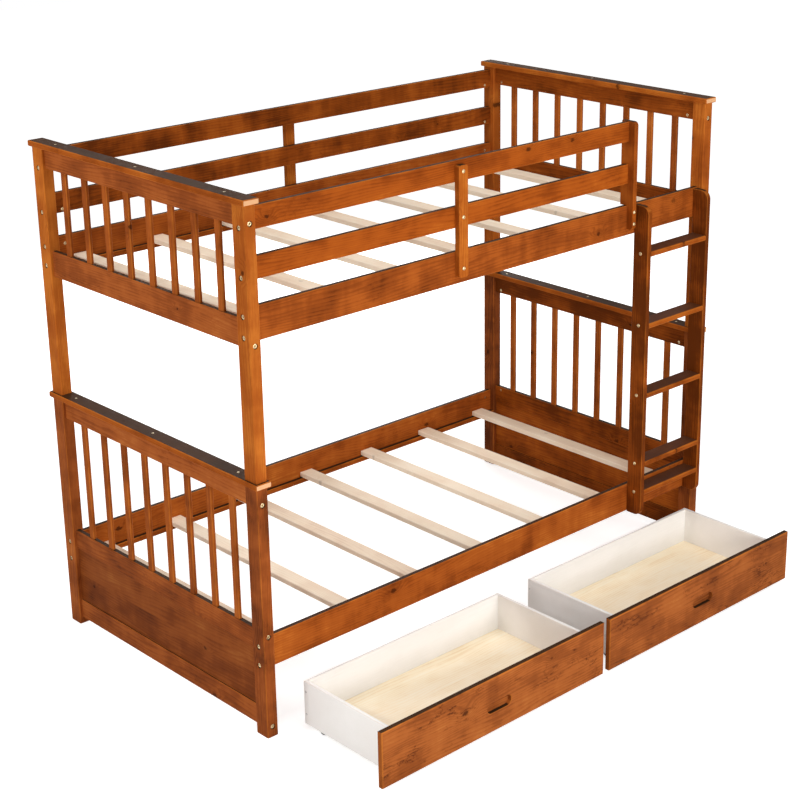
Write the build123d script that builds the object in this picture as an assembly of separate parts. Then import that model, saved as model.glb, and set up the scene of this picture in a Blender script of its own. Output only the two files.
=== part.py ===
from build123d import *
import os

# A bunk bed of bolted softwood with a ladder at its front and two rolling drawers, all in millimetres.
# The origin is the middle of the front left post's sole. X runs along the bed to the ladder end,
# Y runs across it to the back and Z is up. The drawers stand pulled out, as when the bed is cleaned under.

os.makedirs("parts", exist_ok=True)

# Plan: post centre lines along and across the bed
bed_pitch_x = 1961
bed_pitch_y = 1013

# Posts, each a flat timber with its broad face to the ends
post_x = 39
post_y = 55
post_round = 4
lower_post_height = 800

# Planed boards for rails, guards, struts and ladder, and the easing of their long edges
board_thick = 18
board_ease = 2

# Caps that lie over each pair of posts
cap_width = 55
cap_thick = 18
cap_overhang = 9
cap_ease = 2.5

# Rails across the ends, and how high their undersides lie above the foot of their own posts
top_rail_height = 65
end_rail_height = 66
bottom_rail_rise = 21
mid_rail_rise = 275
upper_end_rail_height = 84
upper_end_rail_rise = 394

# Side rails and the ledges that carry the slats
side_rail_height = 102
lower_side_rail_rise = 219
upper_side_rail_rise = 413
ledge_width = 18
ledge_height = 18
ledge_end_gap = 1
slat_count = 7
slat_inset = 95.5
slat_width = 55
slat_thick = 18
slat_end_gap = 1
slat_ease = 2

# Spindles in the open bays of both ends
spindle_count = 8
spindle_inset = 117.65
spindle_width = 26
spindle_thick = 11
spindle_ease = 2.5
spindle_set = 10

# Solid panels in the lowest bay of both ends
panel_thick = 8
rail_groove_depth = 8
post_groove_depth = 5

# Guard boards, the struts that tie them together and the way in beside the ladder
guard_height = 66
guard_rail_gap = 74
guard_gap = 75
guard_drop = 10
strut_width = 38
strut_round = 9
strut_rise = 22
strut_top_drop = 13
front_strut_x = 798.5
entry_width = 354
end_strut_depth = 55
end_strut_forward = 24.5
end_strut_top_rise = 2
end_strut_round = 14

# Ladder, bolted against the front of both side rails
ladder_width = 326
ladder_cap_gap = 0.5
stile_depth = 64
stile_round = 30
stile_top_drop = 2
stile_foot_drop = 2.5
foot_tread_top = 310
first_tread_top = 417
tread_pitch = 252.7
tread_count = 4
tread_thick = 18
tread_ease = 4

# Stub tenons and the fits of everything that is glued or slipped in
tenon_thick = 8
tenon_height = 28
tenon_length = 10
joint_play = 0.2

# Counterbored bolt seats in the outer faces of the posts, measured from the rails' edges
seat_dia = 17
seat_depth = 6
seat_sides = 12
end_bolt_inset = 12.5
end_tenon_inset = 26
side_bolt_low = 15
side_bolt_high = 26
side_tenon_inset = 29
guard_bolt_inset = 11

# Pins that hold the upper posts on the lower ones
pin_dia = 10
pin_length = 60
pin_play = 0.15
pin_sides = 12

# Drawers: a wide front with a blind finger recess, on a narrower box
drawer_width = 930
drawer_gap = 28
drawer_pull = 467.5
drawer_front_height = 180
drawer_front_thick = 18
drawer_front_ease = 3
drawer_front_drop = 12
recess_length = 101
recess_height = 35
recess_depth = 14
recess_rise = 82
recess_ease = 2
box_inset = 57
box_depth = 395
box_height = 145
box_wall = 12
box_ease = 1.5
floor_thick = 5
floor_groove = 5
floor_lip = 17

# Fixed casters under the drawers' floors
wheel_dia = 33
wheel_width = 14
axle_dia = 5
axle_play = 0.05
wheel_side_gap = 0.5
wheel_top_gap = 2.5
bracket_thick = 1.5
bracket_length = 24
bracket_foot = 7
caster_side_inset = 24
caster_end_inset = 60

# Places that follow from the sizes above
ends = {"left": 0, "right": bed_pitch_x}
sides = {"front": 0, "back": bed_pitch_y}
outward = {"left": -1, "right": 1, "front": -1, "back": 1}
upper_foot = lower_post_height + cap_thick
bay_x0, bay_x1 = post_x / 2, bed_pitch_x - post_x / 2
bay_y0, bay_y1 = post_y / 2, bed_pitch_y - post_y / 2
rail_front = -board_thick / 2
lower_rail_z = lower_side_rail_rise
upper_rail_z = upper_foot + upper_side_rail_rise
lower_guard_z = upper_rail_z + side_rail_height + guard_rail_gap
upper_guard_z = lower_guard_z + guard_height + guard_gap
upper_top = upper_guard_z + guard_height + guard_drop
post_cuts = {(level, end, side): [] for level in ("lower", "upper") for end in ends for side in sides}


def save(shape, name):
    shape.label = name
    export_step(shape, f"parts/{name}.step")


# Timbers: a section with eased long edges, run along one axis between two stations
def section(width, height, ease, rounded):
    outline = Rectangle(width, height)
    return fillet(outline.vertices(), ease) if rounded else chamfer(outline.vertices(), ease)


def timber_x(x0, x1, y, z, thick, height, ease, rounded=False):
    plane = Plane((x0, y, z + height / 2), x_dir=(0, 1, 0), z_dir=(1, 0, 0))
    return extrude(plane * section(thick, height, ease, rounded), x1 - x0)


def timber_y(x, y0, y1, z, thick, height, ease, rounded=False):
    plane = Plane((x, y0, z + height / 2), x_dir=(-1, 0, 0), z_dir=(0, 1, 0))
    return extrude(plane * section(thick, height, ease, rounded), y1 - y0)


def timber_z(x, y, z0, z1, size_x, size_y, ease, rounded=False):
    return extrude(Plane((x, y, z0)) * section(size_x, size_y, ease, rounded), z1 - z0)


# A block from one corner to the opposite one
def block(x0, x1, y0, y1, z0, z1):
    return Pos((x0 + x1) / 2, (y0 + y1) / 2, (z0 + z1) / 2) * Box(x1 - x0, y1 - y0, z1 - z0)


# Bolt seats, sunk from the outer faces of a post
def seat_at(x, y, z, turn):
    return Pos(x, y, z) * turn * extrude(RegularPolygon(seat_dia / 2, seat_sides), seat_depth, both=True)


def seat_on_end(end, side, z):
    return seat_at(ends[end] + outward[end] * post_x / 2, sides[side], z, Rot(0, 90, 0))


def seat_on_side(end, side, z):
    return seat_at(ends[end], sides[side] + outward[side] * post_y / 2, z, Rot(90, 0, 0))


# A stub tenon across the joint line of a rail and a post, or its mortise when it is given some play
def tenon_along_x(x, y, z, play=0):
    box = Box((tenon_length + play) * 2, tenon_thick + play * 2, tenon_height + play * 2)
    return Pos(x, y, z + tenon_height / 2) * box


def tenon_along_y(x, y, z, play=0):
    box = Box(tenon_thick + play * 2, (tenon_length + play) * 2, tenon_height + play * 2)
    return Pos(x, y, z + tenon_height / 2) * box


# Rails across an end, tenoned and bolted into both of its posts
def end_rail(level, end, z, height, bolt_at_top=False):
    x = ends[end]
    rail = timber_y(x, bay_y0, bay_y1, z, board_thick, height, board_ease)
    bolt_z = z + height - end_bolt_inset if bolt_at_top else z + end_bolt_inset
    tenon_z = z + height - end_tenon_inset - tenon_height if bolt_at_top else z + end_tenon_inset
    for side, y in (("front", bay_y0), ("back", bay_y1)):
        rail += tenon_along_y(x, y, tenon_z)
        post_cuts[level, end, side] += [
            tenon_along_y(x, y, tenon_z, joint_play),
            seat_on_side(end, side, bolt_z),
        ]
    return rail


# Rails and boards along the bed, with a tenon and bolts at each post that they reach
def side_board(level, side, x0, x1, z, height, tenon_z, bolts, at_ends):
    rail = timber_x(x0, x1, sides[side], z, board_thick, height, board_ease)
    for end in at_ends:
        x = x0 if end == "left" else x1
        rail += tenon_along_x(x, sides[side], tenon_z)
        post_cuts[level, end, side] += [tenon_along_x(x, sides[side], tenon_z, joint_play)]
        post_cuts[level, end, side] += [seat_on_end(end, side, bolt_z) for bolt_z in bolts]
    return rail


# Places of the spindles along an end, and their mortises in the edge of a rail
spindle_pitch = (bed_pitch_y - spindle_inset * 2) / (spindle_count - 1)
spindle_ys = [spindle_inset + i * spindle_pitch for i in range(spindle_count)]


def spindle_mortises(x, z):
    hole = Box(
        spindle_thick + joint_play * 2, spindle_width + joint_play * 2, (spindle_set + joint_play) * 2
    )
    return [Pos(x, y, z) * hole for y in spindle_ys]


def spindles(x, z0, z1):
    return [
        timber_z(x, y, z0 - spindle_set, z1 + spindle_set, spindle_thick, spindle_width, spindle_ease)
        for y in spindle_ys
    ]


# A groove for the panel, along the edge of a rail
def panel_groove(x, z):
    return Pos(x, bed_pitch_y / 2, z) * Box(
        panel_thick + joint_play * 2, bay_y1 - bay_y0, rail_groove_depth * 2
    )


# Both ends: rails, spindles and the solid panel of the lowest bay
bottom_rail_top = bottom_rail_rise + end_rail_height
mid_rail_top = mid_rail_rise + end_rail_height
lower_top_rail_z = lower_post_height - top_rail_height
upper_end_rail_z = upper_foot + upper_end_rail_rise
upper_end_rail_top = upper_end_rail_z + upper_end_rail_height
upper_top_rail_z = upper_top - top_rail_height

for end, x in ends.items():
    bottom = end_rail("lower", end, bottom_rail_rise, end_rail_height)
    bottom -= panel_groove(x, bottom_rail_top)
    save(bottom, f"lower_{end}_bottom_rail")

    middle = end_rail("lower", end, mid_rail_rise, end_rail_height, bolt_at_top=True)
    middle -= panel_groove(x, mid_rail_rise)
    middle -= spindle_mortises(x, mid_rail_top)
    save(middle, f"lower_{end}_middle_rail")

    top = end_rail("lower", end, lower_top_rail_z, top_rail_height)
    top -= spindle_mortises(x, lower_top_rail_z)
    save(top, f"lower_{end}_top_rail")

    upper_bottom = end_rail("upper", end, upper_end_rail_z, upper_end_rail_height)
    upper_bottom -= spindle_mortises(x, upper_end_rail_top)
    save(upper_bottom, f"upper_{end}_bottom_rail")

    upper = end_rail("upper", end, upper_top_rail_z, top_rail_height)
    upper -= spindle_mortises(x, upper_top_rail_z)
    save(upper, f"upper_{end}_top_rail")

    save(Compound(children=spindles(x, mid_rail_top, lower_top_rail_z)), f"lower_{end}_spindles")
    save(Compound(children=spindles(x, upper_end_rail_top, upper_top_rail_z)), f"upper_{end}_spindles")

    panel_z0 = bottom_rail_top - rail_groove_depth
    panel_z1 = mid_rail_rise + rail_groove_depth
    panel_y0 = bay_y0 - post_groove_depth + joint_play
    panel_y1 = bay_y1 + post_groove_depth - joint_play
    panel = block(
        x - panel_thick / 2, x + panel_thick / 2, panel_y0, panel_y1, panel_z0, panel_z1 - joint_play
    )
    save(panel, f"lower_{end}_panel")
    for side, y in (("front", bay_y0), ("back", bay_y1)):
        groove_x = panel_thick / 2 + joint_play
        post_cuts["lower", end, side].append(
            block(x - groove_x, x + groove_x, y - post_groove_depth, y + post_groove_depth, panel_z0, panel_z1)
        )

# Side rails of both beds
for level, z in (("lower", lower_rail_z), ("upper", upper_rail_z)):
    for side in sides:
        bolts = [z + side_bolt_low, z + side_rail_height - side_bolt_high]
        rail = side_board(
            level, side, bay_x0, bay_x1, z, side_rail_height, z + side_tenon_inset, bolts, ["left", "right"]
        )
        save(rail, f"{level}_{side}_side_rail")

# Guard boards: the back pair runs from post to post, the front pair from the left post to the end strut
end_strut_x0 = bay_x1 - entry_width - board_thick


def guard(side, z, x1, at_ends):
    tenon_z = z + end_tenon_inset
    return side_board(
        "upper", side, bay_x0, x1, z, guard_height, tenon_z, [z + guard_bolt_inset], at_ends
    )


guard_zs = (lower_guard_z, upper_guard_z)
save(Compound(children=[guard("back", z, bay_x1, ["left", "right"]) for z in guard_zs]), "back_guard_boards")
save(Compound(children=[guard("front", z, end_strut_x0, ["left"]) for z in guard_zs]), "front_guard_boards")

# Ledges along the inner faces of the side rails, and the slats that lie across them
rail_inner_y0 = board_thick / 2
rail_inner_y1 = bed_pitch_y - board_thick / 2
slat_pitch = (bed_pitch_x - slat_inset * 2) / (slat_count - 1)
slat_xs = [slat_inset + i * slat_pitch for i in range(slat_count)]


def slat(x, z):
    board = block(
        x - slat_width / 2, x + slat_width / 2, rail_inner_y0 + slat_end_gap, rail_inner_y1 - slat_end_gap,
        z, z + slat_thick,
    )
    return chamfer(board.edges().filter_by(Axis.Y), slat_ease)


for level, z in (("lower", lower_rail_z), ("upper", upper_rail_z)):
    ledges = [
        timber_x(
            bay_x0 + ledge_end_gap, bay_x1 - ledge_end_gap, y, z, ledge_width, ledge_height, board_ease
        )
        for y in (rail_inner_y0 + ledge_width / 2, rail_inner_y1 - ledge_width / 2)
    ]
    save(Compound(children=ledges), f"{level}_slat_ledges")
    save(Compound(children=[slat(x, z + ledge_height) for x in slat_xs]), f"{level}_slats")

# Pins from the lower posts up through their cap into the upper posts
pin_z = lower_post_height + cap_thick / 2
pin_spots = [Pos(x, y, pin_z) for x in ends.values() for y in sides.values()]


def pin(play=0):
    return extrude(RegularPolygon(pin_dia / 2 + play, pin_sides), pin_length / 2 + play, both=True)


save(Compound(children=[spot * pin() for spot in pin_spots]), "post_pins")

# Posts, with every mortise, groove, bolt seat and pin hole that they need
for (level, end, side), cuts in post_cuts.items():
    x, y = ends[end], sides[side]
    z0, z1 = (0, lower_post_height) if level == "lower" else (upper_foot, upper_top)
    post = timber_z(x, y, z0, z1, post_x, post_y, post_round, rounded=True)
    save(post - cuts - Pos(x, y, pin_z) * pin(pin_play), f"{level}_{end}_{side}_post")

# Caps over the posts of each end
for level, z in (("lower", lower_post_height), ("upper", upper_top)):
    for end, x in ends.items():
        reach = post_y / 2 + cap_overhang
        cap = block(x - cap_width / 2, x + cap_width / 2, -reach, bed_pitch_y + reach, z, z + cap_thick)
        cap = chamfer(cap.edges(), cap_ease)
        if level == "lower":
            cap -= [spot * pin(pin_play) for spot in pin_spots]
        save(cap, f"{level}_{end}_cap")

# Flat struts that tie the guard boards to the side rail, with rounded ends
strut_z0 = upper_rail_z + strut_rise
strut_z1 = upper_guard_z + guard_height - strut_top_drop


def strut(x, y):
    outline = RectangleRounded(strut_width, strut_z1 - strut_z0, strut_round)
    plane = Plane((x, y, (strut_z0 + strut_z1) / 2), x_dir=(1, 0, 0), z_dir=(0, -1, 0))
    return extrude(plane * outline, board_thick)


save(strut(front_strut_x, rail_front), "front_guard_strut")
save(strut(bed_pitch_x / 2, bed_pitch_y + board_thick * 1.5), "back_guard_strut")

# The end strut stands on edge beside the way in, and its tongue laps down over the front of the side rail
end_strut_y0 = rail_front - end_strut_forward
end_strut_y1 = end_strut_y0 + end_strut_depth
end_strut_z1 = upper_guard_z + guard_height + end_strut_top_rise
shoulder_z = upper_rail_z + side_rail_height
outline = Polyline(
    (end_strut_y0, strut_z0),
    (rail_front, strut_z0),
    (rail_front, shoulder_z),
    (end_strut_y1, shoulder_z),
    (end_strut_y1, end_strut_z1),
    (end_strut_y0, end_strut_z1),
    close=True,
)
face = fillet(make_face(outline).vertices().sort_by(Axis.X)[:2], end_strut_round)
plane = Plane((end_strut_x0, 0, 0), x_dir=(0, 1, 0), z_dir=(1, 0, 0))
save(extrude(plane * face, board_thick), "front_guard_end_strut")

# Ladder stiles with their front corners rounded off, against the front of both side rails
ladder_x1 = bed_pitch_x - cap_width / 2 - ladder_cap_gap
ladder_x0 = ladder_x1 - ladder_width
stile_y0 = rail_front - stile_depth
stile_z0 = lower_rail_z - stile_foot_drop
stile_z1 = upper_rail_z + side_rail_height - stile_top_drop


def stile(x0):
    outline = Pos((stile_y0 + rail_front) / 2, (stile_z0 + stile_z1) / 2) * Rectangle(
        stile_depth, stile_z1 - stile_z0
    )
    face = fillet(outline.vertices().sort_by(Axis.X)[:2], stile_round)
    plane = Plane((x0, 0, 0), x_dir=(0, 1, 0), z_dir=(1, 0, 0))
    board = extrude(plane * face, board_thick)
    flats = board.faces().sort_by(Axis.X)
    return chamfer(flats[0].edges() + flats[-1].edges(), board_ease)


save(stile(ladder_x0), "left_ladder_stile")
save(stile(ladder_x1 - board_thick), "right_ladder_stile")

tread_tops = [foot_tread_top] + [first_tread_top + i * tread_pitch for i in range(tread_count)]
treads = [
    timber_x(
        ladder_x0 + board_thick, ladder_x1 - board_thick, (stile_y0 + rail_front) / 2, top - tread_thick,
        stile_depth, tread_thick, tread_ease,
    )
    for top in tread_tops
]
save(Compound(children=treads), "ladder_treads")

# Drawers, one beside the other under the lower bed and pulled out in front of it
front_y0 = rail_front - drawer_pull
box_y0 = front_y0 + drawer_front_thick
box_y1 = box_y0 + box_depth
floor_z = wheel_dia + wheel_top_gap + bracket_thick
box_z = floor_z - floor_lip
front_z = box_z - drawer_front_drop
axle_z = wheel_dia / 2
drawers = {
    "left_drawer": (bed_pitch_x - drawer_gap) / 2 - drawer_width,
    "right_drawer": (bed_pitch_x + drawer_gap) / 2,
}


# The front, with its edges rounded and a blind recess for the fingers
def drawer_front(x0):
    plate = block(x0, x0 + drawer_width, front_y0, box_y0, front_z, front_z + drawer_front_height)
    plate = chamfer(plate.faces().sort_by(Axis.Y)[0].edges(), drawer_front_ease)
    plane = Plane((x0 + drawer_width / 2, front_y0, front_z + recess_rise), x_dir=(1, 0, 0), z_dir=(0, 1, 0))
    recess = extrude(plane * SlotOverall(recess_length, recess_height), recess_depth)
    flare = recess_ease * 2
    lip = extrude(plane * SlotOverall(recess_length + flare, recess_height + flare), recess_ease, taper=45)
    return plate - recess - lip


# The floor panel slides in a groove all round: in both sides, the back and the front
def drawer_floor(x0, x1, play):
    return block(
        x0 + box_wall - floor_groove + play, x1 - box_wall + floor_groove - play,
        box_y0 - floor_groove + play, box_y1 - box_wall + floor_groove - play,
        floor_z, floor_z + floor_thick,
    )


# A caster: a folded bracket with its pin, and the wheel that runs on the pin
def caster_bracket(x, y):
    half = wheel_width / 2 + wheel_side_gap
    cheek = make_face(
        Polyline(
            (y - bracket_foot, axle_z - bracket_foot), (y + bracket_foot, axle_z - bracket_foot),
            (y + bracket_length / 2, floor_z), (y - bracket_length / 2, floor_z), close=True,
        )
    )
    plane = Plane((0, 0, 0), x_dir=(0, 1, 0), z_dir=(1, 0, 0))
    bracket = block(
        x - half - bracket_thick, x + half + bracket_thick, y - bracket_length / 2, y + bracket_length / 2,
        floor_z - bracket_thick, floor_z,
    )
    for x0 in (x - half - bracket_thick, x + half):
        bracket += Pos(x0, 0, 0) * extrude(plane * cheek, bracket_thick)
    return bracket + Pos(x, y, axle_z) * Rot(0, 90, 0) * Cylinder(axle_dia / 2, half * 2)


def wheel(x, y):
    profile = Rectangle(wheel_dia / 2 - axle_dia / 2 - axle_play, wheel_width)
    profile = Pos((wheel_dia / 2 + axle_dia / 2 + axle_play) / 2, 0) * profile
    turned = revolve(Plane.XZ * profile, Axis.Z)
    return Pos(x, y, axle_z) * Rot(0, 90, 0) * turned


for name, x in drawers.items():
    box_x0, box_x1 = x + box_inset, x + drawer_width - box_inset
    groove = block(
        box_x0 + box_wall - floor_groove, box_x1 - box_wall + floor_groove,
        box_y0 - floor_groove, box_y1 - box_wall + floor_groove,
        floor_z - joint_play, floor_z + floor_thick + joint_play,
    )
    save(drawer_front(x) - groove, f"{name}_front")
    walls = [
        timber_y(wall_x, box_y0, box_y1, box_z, box_wall, box_height, box_ease) - groove
        for wall_x in (box_x0 + box_wall / 2, box_x1 - box_wall / 2)
    ]
    save(Compound(children=walls), f"{name}_sides")
    back = timber_x(
        box_x0 + box_wall, box_x1 - box_wall, box_y1 - box_wall / 2, box_z, box_wall, box_height, box_ease
    )
    save(back - groove, f"{name}_back")
    save(drawer_floor(box_x0, box_x1, joint_play), f"{name}_floor")

    caster_xs = (box_x0 + caster_side_inset, box_x1 - caster_side_inset)
    rows = {"front": box_y0 + caster_end_inset, "rear": box_y1 - caster_end_inset}
    brackets = [caster_bracket(cx, cy) for cx in caster_xs for cy in rows.values()]
    save(Compound(children=brackets), f"{name}_casters")
    for row, cy in rows.items():
        save(Compound(children=[wheel(cx, cy) for cx in caster_xs]), f"{name}_{row}_wheels")
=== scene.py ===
import math

import bpy
import numpy as np
from mathutils import Matrix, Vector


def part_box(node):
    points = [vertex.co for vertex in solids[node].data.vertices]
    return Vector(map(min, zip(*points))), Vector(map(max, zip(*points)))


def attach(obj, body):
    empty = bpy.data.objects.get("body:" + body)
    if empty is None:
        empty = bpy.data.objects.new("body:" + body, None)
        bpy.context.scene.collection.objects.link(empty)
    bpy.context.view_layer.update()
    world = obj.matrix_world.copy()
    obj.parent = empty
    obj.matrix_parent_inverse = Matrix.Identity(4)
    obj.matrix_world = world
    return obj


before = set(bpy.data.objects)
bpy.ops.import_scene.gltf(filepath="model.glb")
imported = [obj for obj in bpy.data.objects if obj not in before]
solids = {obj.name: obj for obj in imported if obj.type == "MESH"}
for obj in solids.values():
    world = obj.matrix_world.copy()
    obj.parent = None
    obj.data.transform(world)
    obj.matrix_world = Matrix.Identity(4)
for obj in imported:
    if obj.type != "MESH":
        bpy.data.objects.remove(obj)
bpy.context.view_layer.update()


# Posts: four flat softwood timbers to each bed, their long edges rounded over by a router, rubbed with
# a brown stain that takes unevenly and sealed with a satin lacquer. The stain is worked out here, once,
# for every stained piece of the bed.
def add(tree, kind, inputs=None, **settings):
    """A shader node with its settings made and its inputs linked or given a value; returned whole."""
    node = tree.nodes.new("ShaderNode" + kind)
    for name, value in settings.items():
        setattr(node, name, value)
    for key, value in (inputs or {}).items():
        if isinstance(value, bpy.types.NodeSocket):
            tree.links.new(value, node.inputs[key])
        else:
            node.inputs[key].default_value = value
    return node


def new_material(name):
    """A material made of nodes, with its tree and its shader."""
    material = bpy.data.materials.new(name)
    material.use_nodes = True
    return material, material.node_tree, material.node_tree.nodes["Principled BSDF"]


def maths(tree, operation, *values):
    """One step of arithmetic on numbers or sockets."""
    return add(tree, "Math", dict(enumerate(values)), operation=operation).outputs[0]


def eased(tree, value, low, high):
    """0 below low, 1 above high and a smooth rise between; the other way about if low is the larger."""
    inputs = {"Value": value, "From Min": low, "From Max": high}
    return add(tree, "MapRange", inputs, interpolation_type="SMOOTHSTEP").outputs[0]


def noise(tree, place, scale, stretch=(1, 1, 1), detail=3, rough=0.5):
    """Soft noise over the place, scale lumps to the metre, each pulled out by stretch."""
    pulled = [scale / s for s in stretch]
    scaled = add(tree, "VectorMath", {0: place, 1: pulled}, operation="MULTIPLY").outputs[0]
    inputs = {"Vector": scaled, "Scale": 1, "Detail": detail, "Roughness": rough}
    return add(tree, "TexNoise", inputs).outputs["Fac"]


def ramp(tree, value, stops):
    """Colours by value, from stops of a place from 0 to 1 and a colour."""
    node = add(tree, "ValToRGB", {0: value})
    node.color_ramp.interpolation = "EASE"
    places = node.color_ramp.elements
    while len(places) < len(stops):
        places.new(0.5)
    for element, (place, colour) in zip(places, stops):
        element.position, element.color = place, (*colour, 1)
    return node.outputs[0]


def mixed(tree, share, one, other):
    """One colour going over to the other by share."""
    return add(tree, "Mix", {0: share, 6: one, 7: other}, data_type="RGBA").outputs[2]


def grain_figure():
    """The figure of a sawn softwood board, with x along the grain, y over its width and z through it.

    Growth rings are the contour lines of a smooth field drawn out along the grain, so they run as
    streaks, tongues and arches. Each knot is a dark spot that the rings flow round. Clouds are where
    the wood drinks more or less, fibres the fine streaks, bands the marks across of the planer, and
    flames the feathery dark patches and veins beside knots, from noises whose place is itself curled:
    a vein runs where such a noise passes its middle value."""
    tree = bpy.data.node_groups.new("grain figure", "ShaderNodeTree")
    tree.interface.new_socket("Place", in_out="INPUT", socket_type="NodeSocketVector")
    for name in ("Rings", "Knots", "Clouds", "Fibres", "Bands", "Flames"):
        tree.interface.new_socket(name, in_out="OUTPUT", socket_type="NodeSocketFloat")
    place = tree.nodes.new("NodeGroupInput").outputs[0]
    ends = tree.nodes.new("NodeGroupOutput")

    spots = add(tree, "VectorMath", {0: place, 1: (5.0, 7.5, 1)}, operation="MULTIPLY").outputs[0]
    cells = add(tree, "TexVoronoi", {"Vector": spots, "Scale": 1}, voronoi_dimensions="2D")
    pick = add(tree, "SeparateColor", {0: cells.outputs["Color"]})
    chosen = eased(tree, pick.outputs[0], 0.74, 0.78)
    radius = maths(tree, "MULTIPLY_ADD", pick.outputs[1], 0.045, 0.022)
    nearness = maths(tree, "DIVIDE", cells.outputs["Distance"], radius)
    wobble = maths(tree, "MULTIPLY_ADD", noise(tree, place, 170, detail=3), 1.8, -0.9)
    ragged = maths(tree, "ADD", nearness, wobble)
    knots = maths(tree, "MULTIPLY", eased(tree, ragged, 1.4, 0.5), chosen)
    swell = maths(tree, "MULTIPLY", eased(tree, nearness, 5.5, 0.4), chosen)

    _, over, through = add(tree, "SeparateXYZ", {0: place}).outputs
    slope = maths(tree, "MULTIPLY_ADD", over, 0.42, maths(tree, "MULTIPLY", through, 0.9))
    field = maths(tree, "MULTIPLY_ADD", noise(tree, place, 7, (7, 1, 1), 2), 0.055, slope)
    field = maths(tree, "MULTIPLY_ADD", noise(tree, place, 45, (8, 1, 1), 2), 0.0035, field)
    field = maths(tree, "MULTIPLY_ADD", swell, 0.011, field)
    phase = maths(tree, "FRACT", maths(tree, "MULTIPLY", field, 230))
    late = maths(tree, "MULTIPLY", eased(tree, phase, 0.35, 0.85), eased(tree, phase, 1.0, 0.9))

    curl = add(tree, "TexNoise", {"Vector": place, "Scale": 9.0, "Detail": 2.0}).outputs["Color"]
    curled = add(tree, "VectorMath", {0: curl, 1: (0.10, 0.05, 0.05)}, operation="MULTIPLY")
    flame_place = add(tree, "VectorMath", {0: place, 1: curled.outputs[0]}, operation="ADD").outputs[0]
    blotches = eased(tree, noise(tree, flame_place, 26, (3.2, 1, 1), 6, 0.68), 0.59, 0.74)
    veined = noise(tree, flame_place, 34, (2.4, 1, 1), 4, 0.6)
    off_middle = maths(tree, "ABSOLUTE", maths(tree, "SUBTRACT", veined, 0.5))
    troubled = maths(tree, "MAXIMUM", eased(tree, noise(tree, place, 9, (1.7, 1, 1), 2), 0.54, 0.66), swell)
    veins = maths(tree, "MULTIPLY", eased(tree, off_middle, 0.03, 0.0), troubled)

    results = (
        late,
        maths(tree, "MAXIMUM", knots, maths(tree, "MULTIPLY", swell, 0.14)),
        noise(tree, place, 12, (1.8, 1, 1), 4, 0.55),
        noise(tree, place, 230, (26, 1, 1), 4, 0.7),
        noise(tree, place, 22, (1, 7, 7), 3),
        maths(tree, "MAXIMUM", maths(tree, "MULTIPLY", blotches, 0.75), veins),
    )
    for socket, value in zip(ends.inputs, results):
        tree.links.new(value, socket)
    return tree


figure = grain_figure()


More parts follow.
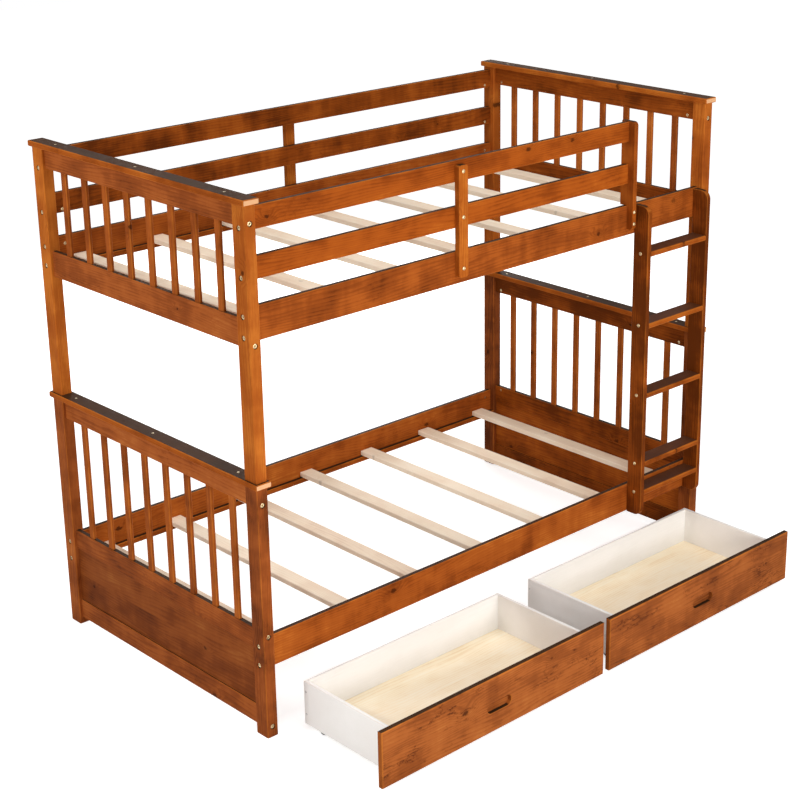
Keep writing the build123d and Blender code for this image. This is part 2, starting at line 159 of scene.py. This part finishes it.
def wood_surface(name, along, across, cell, origin, tones, end_colour, edge_colour, strengths, finish,
                 knot_share=0.8, top_shade_share=0.0, shaded_top_colour=(0, 0, 0, 1)):
    """A board's material: its place is turned so that the grain runs along one axis, and every board that
    falls into its own cell of the given sizes gets its own cut of the grain and its own depth of stain.

    The colour goes up the tones by the clouds and the fibres, and rings, flames and knots darken it. Faces
    across the grain, eased edges and, where the share of painted top shade isn't 0, faces that look up are
    known by their normals and get their own colours; faces that look up go dark as painted shade. The
    length of the name seeds the cuts, so a name of another length gives other boards."""
    material, tree, shader = new_material(name)
    source = add(tree, "TexCoord")
    moved = add(tree, "VectorMath", {0: source.outputs["Object"], 1: origin}, operation="SUBTRACT")
    snapped = add(tree, "VectorMath", {0: moved.outputs[0], 1: cell}, operation="SNAP")
    seeded = {"Vector": snapped.outputs[0], "W": len(name)}
    chance = add(tree, "TexWhiteNoise", seeded, noise_dimensions="4D")
    luck = add(tree, "SeparateColor", {0: chance.outputs["Color"]})

    through = ({0, 1, 2} - {along, across}).pop()
    split = add(tree, "SeparateXYZ", {0: source.outputs["Object"]})
    turned = add(tree, "CombineXYZ", dict(enumerate(split.outputs[i] for i in (along, across, through))))
    shift = add(tree, "VectorMath", {0: chance.outputs["Color"], 1: (9, 4, 3)}, operation="MULTIPLY")
    place = add(tree, "VectorMath", {0: turned.outputs[0], 1: shift.outputs[0]}, operation="ADD").outputs[0]
    grain = add(tree, "Group", {0: place}, node_tree=figure)
    rings, knots, clouds, fibres, bands, flames = grain.outputs

    normal = add(tree, "SeparateXYZ", {0: source.outputs["Normal"]})
    lean = [maths(tree, "ABSOLUTE", axis) for axis in normal.outputs]
    flatness = maths(tree, "MAXIMUM", maths(tree, "MAXIMUM", lean[0], lean[1]), lean[2])
    edges = maths(tree, "MULTIPLY", eased(tree, flatness, 0.97, 0.8), eased(tree, clouds, 0.3, 0.6))
    ends = eased(tree, lean[along], 0.86, 0.97)

    drink = maths(tree, "MULTIPLY_ADD", clouds, 0.74, 0.135)
    drink = maths(tree, "MULTIPLY_ADD", maths(tree, "SUBTRACT", bands, 0.5), strengths["bands"], drink)
    own_depth = maths(tree, "SUBTRACT", luck.outputs[2], 0.5)
    drink = maths(tree, "MULTIPLY_ADD", own_depth, strengths["boards"], drink)
    drink = maths(tree, "MULTIPLY_ADD", maths(tree, "SUBTRACT", fibres, 0.5), 0.28, drink)
    drink = maths(tree, "SUBTRACT", drink, maths(tree, "MULTIPLY", rings, strengths["rings"]))
    drink = maths(tree, "SUBTRACT", drink, maths(tree, "MULTIPLY", flames, strengths["flames"]))
    colour = ramp(tree, drink, tones)
    colour = mixed(tree, maths(tree, "MULTIPLY", edges, strengths["edges"]), colour, edge_colour)
    colour = mixed(tree, maths(tree, "MULTIPLY", ends, strengths["ends"]), colour, end_colour)
    if top_shade_share:
        # Faces that look up are darkened towards the top colour as painted shade.
        shaded_tops = maths(tree, "MULTIPLY", eased(tree, normal.outputs[2], 0.85, 0.97), top_shade_share)
        colour = mixed(tree, shaded_tops, colour, shaded_top_colour)
    knot_colour = tuple(0.3 * part for part in tones[0][1])
    colour = mixed(tree, maths(tree, "MULTIPLY", knots, knot_share), colour, (*knot_colour, 1))
    tree.links.new(colour, shader.inputs["Base Color"])

    low, high = finish["rough"]
    rough = maths(tree, "MULTIPLY_ADD", fibres, high - low, low)
    rough = maths(tree, "ADD", rough, maths(tree, "MULTIPLY", ends, 0.12))
    tree.links.new(rough, shader.inputs["Roughness"])
    height = maths(tree, "MULTIPLY_ADD", fibres, 0.7, maths(tree, "MULTIPLY", rings, 0.5))
    height = maths(tree, "SUBTRACT", height, maths(tree, "MULTIPLY", knots, 0.6))
    bump = add(tree, "Bump", {"Height": height, "Strength": finish["relief"], "Distance": 0.0006})
    tree.links.new(bump.outputs[0], shader.inputs["Normal"])
    shader.inputs["Specular IOR Level"].default_value = finish["shine"]
    return material


stain_tones = (
    (0.20, (0.12, 0.026, 0.0035)),
    (0.38, (0.24, 0.052, 0.006)),
    (0.54, (0.35, 0.082, 0.0095)),
    (0.78, (0.50, 0.145, 0.018)),
)
stain_end = (0.26, 0.070, 0.012, 1)
# Eased edges of the stained boards go over to this lighter orange: partly wear of the stain and partly a
# painted highlight where the chamfers catch the light.
stain_edge_wear_and_highlight = (0.56, 0.175, 0.025, 1)
# Faces that look up go over to this near-black brown: painted shade on the tops of the stained boards.
painted_top_shade = (0.015, 0.0125, 0.007, 1)
lacquer = {"rough": (0.46, 0.60), "relief": 0.18, "shine": 0.02}


def stained(name, along, across, cell, origin, end_colour=stain_end, end_share=0.6, lift=0.0,
            bands=0.2, flames=0.07, edges=0.4, tint=(1, 1, 1), shaded_top_colour=painted_top_shade, top_shade_share=0.9):
    """The brown stain for boards whose grain runs along one axis.

    Lift moves the wood up the tones to a lighter one, tint multiplies each tone's red, green and blue,
    and faces that look up go over to the dark top colour, as painted shade."""
    tones = [
        (min(max(at - lift, 0), 1), tuple(part * share for part, share in zip(colour, tint)))
        for at, colour in stain_tones
    ]
    strengths = {
        "rings": 0.085, "bands": bands, "boards": 0.16, "edges": edges, "ends": end_share, "flames": flames,
    }
    return wood_surface(
        name, along, across, cell, origin, tones, end_colour, stain_edge_wear_and_highlight, strengths, lacquer,
        top_shade_share=top_shade_share, shaded_top_colour=shaded_top_colour,
    )


def dress(material, *names):
    """Puts the material on every slot of the named solids."""
    for name in names:
        for slot in solids[name].material_slots:
            slot.material = material


post_names = [n for n in solids if n.endswith("_post")]
post_cells = (2, 2, 2), (0.98, 0.5, 0.809)
brown_tint = (1.0, 1.1, 2.0)
# The lower posts take a darker copy of the stain, as painted shade, and the upper posts a lighter copy, as
# painted light.
dress(
    stained("stain on lower posts", 2, 1, *post_cells, lift=-0.09, tint=brown_tint),
    *[n for n in post_names if n.startswith("lower")],
)
dress(
    stained("stain on upper posts", 2, 1, *post_cells, lift=0.1, tint=(1, 1, 1.1)),
    *[n for n in post_names if n.startswith("upper")],
)

# Rails across the ends, the solid panel of the lowest bay and the spindles above it: planed boards glued
# and bolted between the posts, the spindles let into the edges of the rails.
end_rails = [n for n in solids if n.endswith(("_bottom_rail", "_middle_rail", "_top_rail"))]
end_rail_cells = (2, 3, 0.4), (0.98, -0.5, 0.18)
dress(
    stained("stain on end rails", 1, 2, *end_rail_cells, flames=0.1, edges=0.15, tint=brown_tint),
    *[n for n in end_rails if "_left_" in n],
)
# The rails of the right end take a darker copy of the stain, as painted shade.
dress(
    stained("dark stain on end rails", 1, 2, *end_rail_cells, lift=-0.15, flames=0.1, edges=0.15),
    *[n for n in end_rails if "_right_" in n],
)
panel_cells = (2, 3, 0.09), (0.98, -0.5, 0.001)
panel_tint = (0.70, 0.76, 1.40)
dress(
    stained("stain on end panels", 1, 2, *panel_cells, lift=0.02, bands=0.24, flames=0.0, tint=panel_tint),
    "lower_left_panel",
)
# The panel of the right end takes a darker copy of the stain, as painted shade.
dress(
    stained("dark stain on end panels", 1, 2, *panel_cells, lift=-0.08, flames=0.02),
    "lower_right_panel",
)
spindle_names = [n for n in solids if n.endswith("_spindles")]
spindle_cells = (2, 0.1111, 2), (0.98, 0.5065, 0.809)
dress(stained("stain on spindles", 2, 1, *spindle_cells, tint=(1, 1.05, 1.5)), *spindle_names)

# Side rails with the ledge strips screwed along their inner faces, and seven slats laid across each bed.
# The slats are planed but not stained, so they show pale pine.
side_rails = [n for n in solids if n.endswith("_side_rail")]
long_cell = (5, 1.2, 2)
dress(
    stained(
        "stain on side rails", 0, 2, long_cell, (-1, 0.5, 0.8),
        lift=-0.04, bands=0.34, flames=0.07, tint=(1, 1, 1.2),
    ),
    *side_rails,
)
dress(
    stained("stain on ledges", 0, 2, long_cell, (-1.5, 0.5, 0.8), lift=-0.04),
    "lower_slat_ledges", "upper_slat_ledges",
)

raw_tones = (
    (0.20, (0.75, 0.56, 0.41)),
    (0.42, (0.86, 0.69, 0.52)),
    (0.60, (0.91, 0.77, 0.60)),
    (0.82, (0.94, 0.83, 0.69)),
)
raw_end = (0.78, 0.60, 0.43, 1)
raw_edge = (0.92, 0.82, 0.69, 1)
sawn = {"rough": (0.55, 0.75), "relief": 0.35, "shine": 0.25}
slat_strengths = {"rings": 0.1, "bands": 0.1, "boards": 0.25, "edges": 0.5, "ends": 0.8, "flames": 0.04}
slat_wood = wood_surface(
    "pale slat pine", 1, 0, (0.295, 3, 2), (1.128, -0.5, 0.8),
    raw_tones, raw_end, raw_edge, slat_strengths, sawn, knot_share=0.35,
)
dress(slat_wood, "lower_slats", "upper_slats")

# Caps: flat boards screwed down over each pair of posts. Their sawn ends have taken the stain thinly and
# look paler than the rest.
cap_names = [n for n in solids if n.endswith("_cap")]
cap_end = (0.74, 0.42, 0.22, 1)
dress(stained("stain on caps", 1, 0, (2, 3, 2), (0.98, -0.5, 1.2), cap_end, 0.9, lift=0.08), *cap_names)

# Guard boards and the struts that tie them to the side rails, of the same planed and stained board.
guard_cells = long_cell, (-1.2, 0.5, 1.51)
dress(
    stained("stain on front guards", 0, 2, *guard_cells, lift=0.02, bands=0.12, tint=(1, 0.92, 0.8)),
    "front_guard_boards",
)
dress(
    stained("stain on back guards", 0, 2, *guard_cells, lift=-0.04, bands=0.5, flames=0.08),
    "back_guard_boards",
)
strut_cells = (0.4, 2, 3), (0.9, 0.5, 0)
# The struts in the middle take a lighter copy of the stain, as painted light.
dress(stained("stain on struts", 2, 0, *strut_cells, lift=0.17), "front_guard_strut", "back_guard_strut")
dress(stained("stain on end strut", 2, 0, *strut_cells, lift=-0.04), "front_guard_end_strut")

# Ladder: two stiles on edge with their front corners rounded off, and five flat treads between them.
# The stiles take a darker copy of the stain, as painted shade.
dress(
    stained("stain on stiles", 2, 1, (2, 3, 3), (1.77, -0.5, -0.5), lift=-0.16),
    "left_ladder_stile", "right_ladder_stile",
)
tread_pitch = 0.2527
tread_cells = (3, 3, tread_pitch), (0, -0.5, 0.36)
# The tops of the treads go over to this dark red-brown as painted shade.
painted_tread_top_shade = (0.055, 0.026, 0.015, 1)
dress(stained("stain on treads", 0, 1, *tread_cells, shaded_top_colour=painted_tread_top_shade, top_shade_share=0.8), "ladder_treads")

# Bolts: zinc and brass coloured heads with a hexagon socket, sunk in the posts' seats and standing proud
# on the struts and the ladder.
mm = 0.001


def lathe(profile, sides=32, flats=6):
    """A turned solid: a ring of points for each (radius, height, squareness) of the profile.

    Where squareness is 1 the ring is a regular polygon of that many flats, and 0 leaves it a circle."""
    radius, height, square = (np.array(column, float)[:, None] for column in zip(*profile))
    angle = np.arange(sides)[None, :] * 2 * np.pi / sides
    sector = np.mod(angle, 2 * np.pi / flats) - np.pi / flats
    reach = radius * (1 - square + square * np.cos(np.pi / flats) / np.cos(sector))
    rings = np.stack([reach * np.cos(angle), reach * np.sin(angle), height + 0 * angle], axis=-1)
    count = len(profile)
    first = np.arange(count - 1)[:, None] * sides
    step, after = np.arange(sides)[None, :], (np.arange(sides)[None, :] + 1) % sides
    faces = np.stack([first + step, first + after, first + sides + after, first + sides + step], axis=-1)
    return rings.reshape(-1, 3), faces.reshape(-1, 4)


def repeated(name, shape, places, directions, material, body="bed_frame"):
    """One mesh of the shape set at every place, its own z turned to each direction.

    The frame at each place is made of the direction, and of its cross products with a fixed helper."""
    points, faces = shape
    places, out = np.array(places, float), np.array(directions, float)
    helper = np.where(np.abs(out[:, 2:3]) > 0.9, [[1.0, 0, 0]], [[0, 0, 1.0]])
    right = np.cross(helper, out)
    right /= np.linalg.norm(right, axis=1, keepdims=True)
    up = np.cross(out, right)
    frames = np.stack([right, up, out], axis=1)
    verts = (points[None] @ frames + places[:, None]).reshape(-1, 3)
    every = (faces[None] + np.arange(len(places))[:, None, None] * len(points)).reshape(-1, faces.shape[1])
    mesh = bpy.data.meshes.new(name)
    mesh.from_pydata(verts.tolist(), [], every.tolist())
    mesh.validate()
    mesh.update()
    piece = bpy.data.objects.new(name, mesh)
    bpy.context.scene.collection.objects.link(piece)
    mesh.materials.append(material)
    mesh.polygons.foreach_set("use_smooth", [True] * len(mesh.polygons))
    mesh.set_sharp_from_angle(angle=math.radians(35))
    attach(piece, body)


def pitted(tree, shader, place, scale, strength):
    """Gives a surface a finely pitted skin, from a noise of scale lumps to the metre."""
    pits = noise(tree, place, scale, detail=2)
    bump = add(tree, "Bump", {"Height": pits, "Strength": strength, "Distance": 0.0002})
    tree.links.new(bump.outputs[0], shader.inputs["Normal"])


def metal(name, colour, dull, rough):
    """Plated metal: its colour wanders towards a duller one in small spots, and so does its gloss."""
    material, tree, shader = new_material(name)
    place = add(tree, "TexCoord").outputs["Object"]
    spots = noise(tree, place, 260, detail=4, rough=0.6)
    tree.links.new(ramp(tree, spots, ((0.35, dull), (0.62, colour))), shader.inputs["Base Color"])
    tree.links.new(maths(tree, "MULTIPLY_ADD", spots, -0.25, rough + 0.12), shader.inputs["Roughness"])
    shader.inputs["Metallic"].default_value = 1.0
    pitted(tree, shader, place, 1500, 0.12)
    return material


brass = metal("yellow zinc plate", (0.66, 0.52, 0.30), (0.34, 0.25, 0.14), 0.34)
zinc = metal("bright zinc plate", (0.74, 0.74, 0.72), (0.40, 0.40, 0.40), 0.30)

sunk_head = lathe([
    (0.0, 0.4 * mm, 0), (2.9 * mm, 0.4 * mm, 1), (3.0 * mm, 3.6 * mm, 1), (3.4 * mm, 4.0 * mm, 0.6),
    (5.6 * mm, 4.2 * mm, 0), (6.6 * mm, 3.7 * mm, 0), (7.0 * mm, 2.9 * mm, 0), (7.0 * mm, 0.05 * mm, 0),
    (0.0, 0.05 * mm, 0),
])
seat_floor = 6 * mm
post_faces = {n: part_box(n) for n in post_names}


def post_at(level, end, side):
    """The lowest and highest corner of one post."""
    return post_faces[f"{level}_{end}_{side}_post"]


bolt_spots, bolt_ways, nut_spots, nut_ways = [], [], [], []
end_bolt_inset, nut_inset = 12.5 * mm, 30 * mm
for rail in end_rails:
    level, end = rail.split("_")[:2]
    low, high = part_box(rail)
    z = high.z - end_bolt_inset if "middle" in rail else low.z + end_bolt_inset
    for side, way in (("front", -1), ("back", 1)):
        corner_low, corner_high = post_at(level, end, side)
        face = corner_low.y if way < 0 else corner_high.y
        inner = corner_high.y if way < 0 else corner_low.y
        x = (low.x + high.x) / 2
        bolt_spots.append((x, face - way * seat_floor, z))
        bolt_ways.append((0, way, 0))
        inside = 1 if end == "left" else -1
        nut_spots.append(((high if inside > 0 else low).x, inner - way * nut_inset, z))
        nut_ways.append((inside, 0, 0))

# Bolts along the bed: two into each end of a side rail, and one into each end of a guard board that
# reaches a post.
rail_bolt_low, rail_bolt_high = 15 * mm, 26 * mm
guard_bolt_low, guard_width = 11 * mm, 66 * mm
guard_zs = {}
for side in ("front", "back"):
    low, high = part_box(f"{side}_guard_boards")
    guard_zs[side] = (low.z + guard_bolt_low, high.z - guard_width + guard_bolt_low)
for level in ("lower", "upper"):
    for side in ("front", "back"):
        low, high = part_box(f"{level}_{side}_side_rail")
        heights = [low.z + rail_bolt_low, high.z - rail_bolt_high]
        for end, way in (("left", -1), ("right", 1)):
            reached = level == "upper" and (side == "back" or end == "left")
            corner_low, corner_high = post_at(level, end, side)
            face = corner_low.x if way < 0 else corner_high.x
            inner = corner_high.x if way < 0 else corner_low.x
            inside = 1 if side == "front" else -1
            board_face = (high if inside > 0 else low).y
            for z in heights + (list(guard_zs[side]) if reached else []):
                bolt_spots.append((face - way * seat_floor, (low.y + high.y) / 2, z))
                bolt_ways.append((way, 0, 0))
                nut_spots.append((inner - way * nut_inset, board_face, z))
                nut_ways.append((0, inside, 0))
repeated("post_bolts", sunk_head, bolt_spots, bolt_ways, brass)

# Barrel nuts: short turned cylinders pushed into the inner faces of the rails, where the bolts screw into
# them. A slot across each lets a driver line it up.
nut_profile = [
    (0.0, -0.9 * mm, 0), (2.0 * mm, -0.9 * mm, 0.9), (2.1 * mm, 0.25 * mm, 0.9), (4.3 * mm, 0.35 * mm, 0),
    (4.9 * mm, 0.1 * mm, 0), (5.0 * mm, -1.2 * mm, 0), (0.0, -1.2 * mm, 0),
]
repeated("barrel_nuts", lathe(nut_profile, flats=4), nut_spots, nut_ways, brass)

# Struts and ladder are held by low domed heads that stand on their faces.
domed_head = lathe([
    (0.0, 0.9 * mm, 0), (2.4 * mm, 0.9 * mm, 1), (2.5 * mm, 2.2 * mm, 1), (2.9 * mm, 2.5 * mm, 0.5),
    (4.6 * mm, 2.0 * mm, 0), (5.8 * mm, 1.1 * mm, 0), (6.2 * mm, 0.3 * mm, 0), (6.2 * mm, -0.3 * mm, 0),
    (0.0, -0.3 * mm, 0),
])
strut_spots, strut_ways = [], []
long_strut_zs, end_strut_zs = (1.582, 1.441, 1.281), (1.313, 1.273)
strut_heights = {
    "front_guard_strut": long_strut_zs,
    "back_guard_strut": long_strut_zs,
    "front_guard_end_strut": end_strut_zs,
}
for strut, heights in strut_heights.items():
    low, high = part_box(strut)
    way = 1 if strut.startswith("back") else -1
    for z in heights:
        strut_spots.append(((low.x + high.x) / 2, high.y if way > 0 else low.y, z))
        strut_ways.append((0, way, 0))
repeated("strut_bolts", domed_head, strut_spots, strut_ways, brass)

ladder_spots, ladder_ways = [], []
# The lowest tread is a foot board close under the first step; the four steps above it are evenly spaced.
tread_low, tread_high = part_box("ladder_treads")
half_tread = 9 * mm
tread_middles = [tread_low.z + half_tread]
tread_middles += [tread_high.z - half_tread - step * tread_pitch for step in (3, 2, 1, 0)]
for stile, way in (("left_ladder_stile", -1), ("right_ladder_stile", 1)):
    low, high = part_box(stile)
    for z in tread_middles:
        ladder_spots.append((high.x if way > 0 else low.x, (low.y + high.y) / 2, z))
        ladder_ways.append((way, 0, 0))
repeated("ladder_bolts", domed_head, ladder_spots, ladder_ways, brass)

# Cap and ledge screws: small countersunk heads, set level with the wood.
screw_head = lathe([
    (0.0, -1.0 * mm, 0), (1.4 * mm, -1.0 * mm, 0.9), (1.6 * mm, 0.15 * mm, 0.9), (3.4 * mm, 0.25 * mm, 0),
    (3.9 * mm, 0.1 * mm, 0), (4.0 * mm, -0.8 * mm, 0), (0.0, -1.2 * mm, 0),
], sides=20, flats=4)
screw_spots, screw_ways = [], []
cap_screw_reach = 425 * mm
for cap in cap_names:
    low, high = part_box(cap)
    for reach in (-cap_screw_reach, 0, cap_screw_reach):
        screw_spots.append(((low.x + high.x) / 2, (low.y + high.y) / 2 + reach, high.z))
        screw_ways.append((0, 0, 1))
ledge_thick, ledge_screw_xs = 18 * mm, (0.365, 0.98, 1.595)
for level in ("lower", "upper"):
    low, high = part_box(f"{level}_slat_ledges")
    for x in ledge_screw_xs:
        for y, way in ((low.y + ledge_thick, 1), (high.y - ledge_thick, -1)):
            screw_spots.append((x, y, (low.z + high.z) / 2))
            screw_ways.append((0, way, 0))
repeated("cap_and_ledge_screws", screw_head, screw_spots, screw_ways, brass)

# Drawers: a stained pine front with eased edges and a blind finger recess, and a narrower box behind it of
# board faced in off-white, with a thin pine floor let into grooves.
front_pine = stained(
    "stain on the drawer fronts", 0, 2, (2, 3, 2), (0.98, -2, -0.6),
    lift=-0.04, flames=0.26, tint=(0.95, 1.15, 2.2),
)
box_tones = (
    (0.25, (0.785, 0.77, 0.745)),
    (0.45, (0.825, 0.815, 0.795)),
    (0.6, (0.85, 0.84, 0.825)),
    (0.8, (0.865, 0.86, 0.85)),
)
box_end, box_edge = (0.86, 0.80, 0.74, 1), (0.74, 0.64, 0.54, 1)
box_strengths = {"rings": 0.03, "bands": 0.06, "boards": 0.05, "edges": 0.5, "ends": 0.3, "flames": 0.0}
faced = {"rough": (0.42, 0.55), "relief": 0.08, "shine": 0.35}
box_board = wood_surface(
    "off white box board", 0, 2, (2, 3, 2), (0.98, -2, -0.5),
    box_tones, box_end, box_edge, box_strengths, faced, knot_share=0.0,
)
floor_tones = (
    (0.20, (0.87, 0.69, 0.45)),
    (0.42, (0.945, 0.815, 0.60)),
    (0.60, (0.965, 0.865, 0.68)),
    (0.82, (0.975, 0.90, 0.76)),
)
floor_strengths = {"rings": 0.16, "bands": 0.03, "boards": 0.12, "edges": 0.3, "ends": 0.3, "flames": 0.05}
floor_pine = wood_surface(
    "thin pine floor", 0, 1, (2, 0.12, 2), (0.98, 0.01, -0.5),
    floor_tones, raw_end, raw_edge, floor_strengths, sawn, knot_share=0.12,
)
drawers = ("left_drawer", "right_drawer")
drawer_screw_inset, drawer_screw_heights = 8 * mm, (35 * mm, 110 * mm)
for drawer in drawers:
    dress(front_pine, f"{drawer}_front")
    dress(box_board, f"{drawer}_sides", f"{drawer}_back")
    dress(floor_pine, f"{drawer}_floor")
    low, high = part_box(f"{drawer}_sides")
    y = high.y - drawer_screw_inset
    spots = [(x, y, low.z + z) for x in (low.x, high.x) for z in drawer_screw_heights]
    ways = [(-1 if x == low.x else 1, 0, 0) for x, _, _ in spots]
    repeated(f"{drawer}_screws", screw_head, spots, ways, zinc, body=drawer)

# Casters: a folded steel bracket screwed under the floor, and a moulded wheel on its pin.
bracket_steel = metal("pressed steel", (0.62, 0.62, 0.63), (0.36, 0.36, 0.37), 0.36)


def moulded(name, colour, rough):
    """Moulded plastic: one colour with a faint cloud in it and a finely pitted skin."""
    material, tree, shader = new_material(name)
    place = add(tree, "TexCoord").outputs["Object"]
    cloud = noise(tree, place, 120, detail=4)
    dark = tuple(0.7 * part for part in colour)
    tree.links.new(ramp(tree, cloud, ((0.3, dark), (0.65, colour))), shader.inputs["Base Color"])
    tree.links.new(maths(tree, "MULTIPLY_ADD", cloud, 0.2, rough - 0.1), shader.inputs["Roughness"])
    pitted(tree, shader, place, 1800, 0.15)
    return material


wheel_grey = moulded("grey wheel plastic", (0.16, 0.16, 0.165), 0.5)
for drawer in drawers:
    dress(bracket_steel, f"{drawer}_casters")
    dress(wheel_grey, f"{drawer}_front_wheels", f"{drawer}_rear_wheels")
dress(zinc, "post_pins")

# The studio: the photograph's camera, soft lamps in front, on the left, above and behind, a pale world
# and a plain pale floor.
scene = bpy.context.scene
scene.view_settings.view_transform = "Standard"

focal, image_size = 1766.2, 800
centre_u, centre_v = 448.95, 349.57
yaw, pitch, roll = math.radians(43.5469), math.radians(19.0080), math.radians(0.46989)
forward = np.array([math.sin(yaw) * math.cos(pitch), math.cos(yaw) * math.cos(pitch), -math.sin(pitch)])
right = np.cross(forward, [0, 0, 1])
right /= np.linalg.norm(right)
down = np.cross(forward, right)
right, down = (
    math.cos(roll) * right + math.sin(roll) * down,
    -math.sin(roll) * right + math.cos(roll) * down,
)
camera_data = bpy.data.cameras.new("photograph camera")
camera = bpy.data.objects.new("photograph camera", camera_data)
scene.collection.objects.link(camera)
camera_data.sensor_width = 36
camera_data.lens = focal / image_size * camera_data.sensor_width
camera_data.shift_x = (image_size / 2 - centre_u) / image_size
camera_data.shift_y = (centre_v - image_size / 2) / image_size
camera_data.clip_end = 60
camera_place = (-2.77692, -3.71959, 2.79208)
turn = np.eye(4)
turn[:3, 0], turn[:3, 1], turn[:3, 2], turn[:3, 3] = right, -down, -forward, camera_place
camera.matrix_world = Matrix(turn.tolist())
scene.camera = camera


def lamp(name, place, aim, size, power, colour):
    """A rectangular lamp that stands at a place and faces a point."""
    data = bpy.data.lights.new(name, "AREA")
    data.shape, data.energy, data.color = "RECTANGLE", power, colour
    data.size, data.size_y = size
    thing = bpy.data.objects.new(name, data)
    thing.visible_camera = False
    scene.collection.objects.link(thing)
    back = np.array(place, float) - aim
    back /= np.linalg.norm(back)
    side = np.cross([0, 0.001, 1], back)
    side /= np.linalg.norm(side)
    matrix = np.eye(4)
    matrix[:3, 0], matrix[:3, 1], matrix[:3, 2], matrix[:3, 3] = side, np.cross(back, side), back, place
    thing.matrix_world = Matrix(matrix.tolist())


lamp("front softbox", (0.65, -3.6, 1.3), (0.95, 0.4, 0.9), (2.8, 1.0), 84, (1, 0.985, 0.96))
lamp("near front softbox", (1.0, -1.9, 1.6), (0.95, -0.1, 0.35), (2.6, 0.5), 15, (1, 0.99, 0.97))
lamp("left softbox", (-2.2, 0.8, 2.1), (0.2, 0.5, 0.9), (0.6, 0.5), 38, (1, 0.99, 0.98))
lamp("low left softbox", (-0.75, -0.85, 0.55), (0.1, -0.25, 0.1), (0.6, 0.3), 2.9, (1, 0.99, 0.98))
lamp("top softbox", (0.9, 0.1, 4.3), (0.9, 0.2, 0), (3.6, 2.6), 74, (1, 0.99, 0.98))
lamp("back softbox", (3.6, 4.2, 1.4), (1.0, 0.5, 0.8), (2.4, 1.4), 80, (1, 0.99, 0.98))


def seen(tree):
    """1 where a ray from the camera sees a thing, straight or by way of a mirror or glass, and 0 where the
    thing only lights others."""
    rays = add(tree, "LightPath").outputs
    bent = maths(tree, "MAXIMUM", rays["Is Glossy Ray"], rays["Is Transmission Ray"])
    return maths(tree, "MAXIMUM", rays["Is Camera Ray"], bent)


world = bpy.data.worlds.new("white studio")
scene.world = world
world.use_nodes = True
tree = world.node_tree
background = tree.nodes["Background"]
tree.links.new(maths(tree, "MULTIPLY_ADD", seen(tree), 0.76, 0.24), background.inputs["Strength"])
background.inputs["Color"].default_value = (1, 1, 1, 1)

ground = bpy.data.meshes.new("studio floor")
reach = 14.0
corners = [(-reach, -reach, 0), (reach, -reach, 0), (reach, reach, 0), (-reach, reach, 0)]
ground.from_pydata(corners, [], [(0, 1, 2, 3)])
studio_floor = bpy.data.objects.new("studio_floor", ground)
scene.collection.objects.link(studio_floor)

# The floor's paper glows only where it is seen, and more so away from the bed.
paper, tree, shader = new_material("white paper")
shader.inputs["Base Color"].default_value = (0.82, 0.82, 0.82, 1)
shader.inputs["Roughness"].default_value = 0.9
shader.inputs["Specular IOR Level"].default_value = 0.0
shader.inputs["Emission Color"].default_value = (1, 1, 1, 1)
bed_middle = (0.98, 0.3, 0)
away = {0: add(tree, "TexCoord").outputs["Object"], 1: bed_middle}
distance = add(tree, "VectorMath", away, operation="DISTANCE").outputs["Value"]
glow = maths(tree, "MULTIPLY_ADD", eased(tree, distance, 1.2, 4.0), 0.26, 0.60)
tree.links.new(maths(tree, "MULTIPLY", seen(tree), glow), shader.inputs["Emission Strength"])
ground.materials.append(paper)
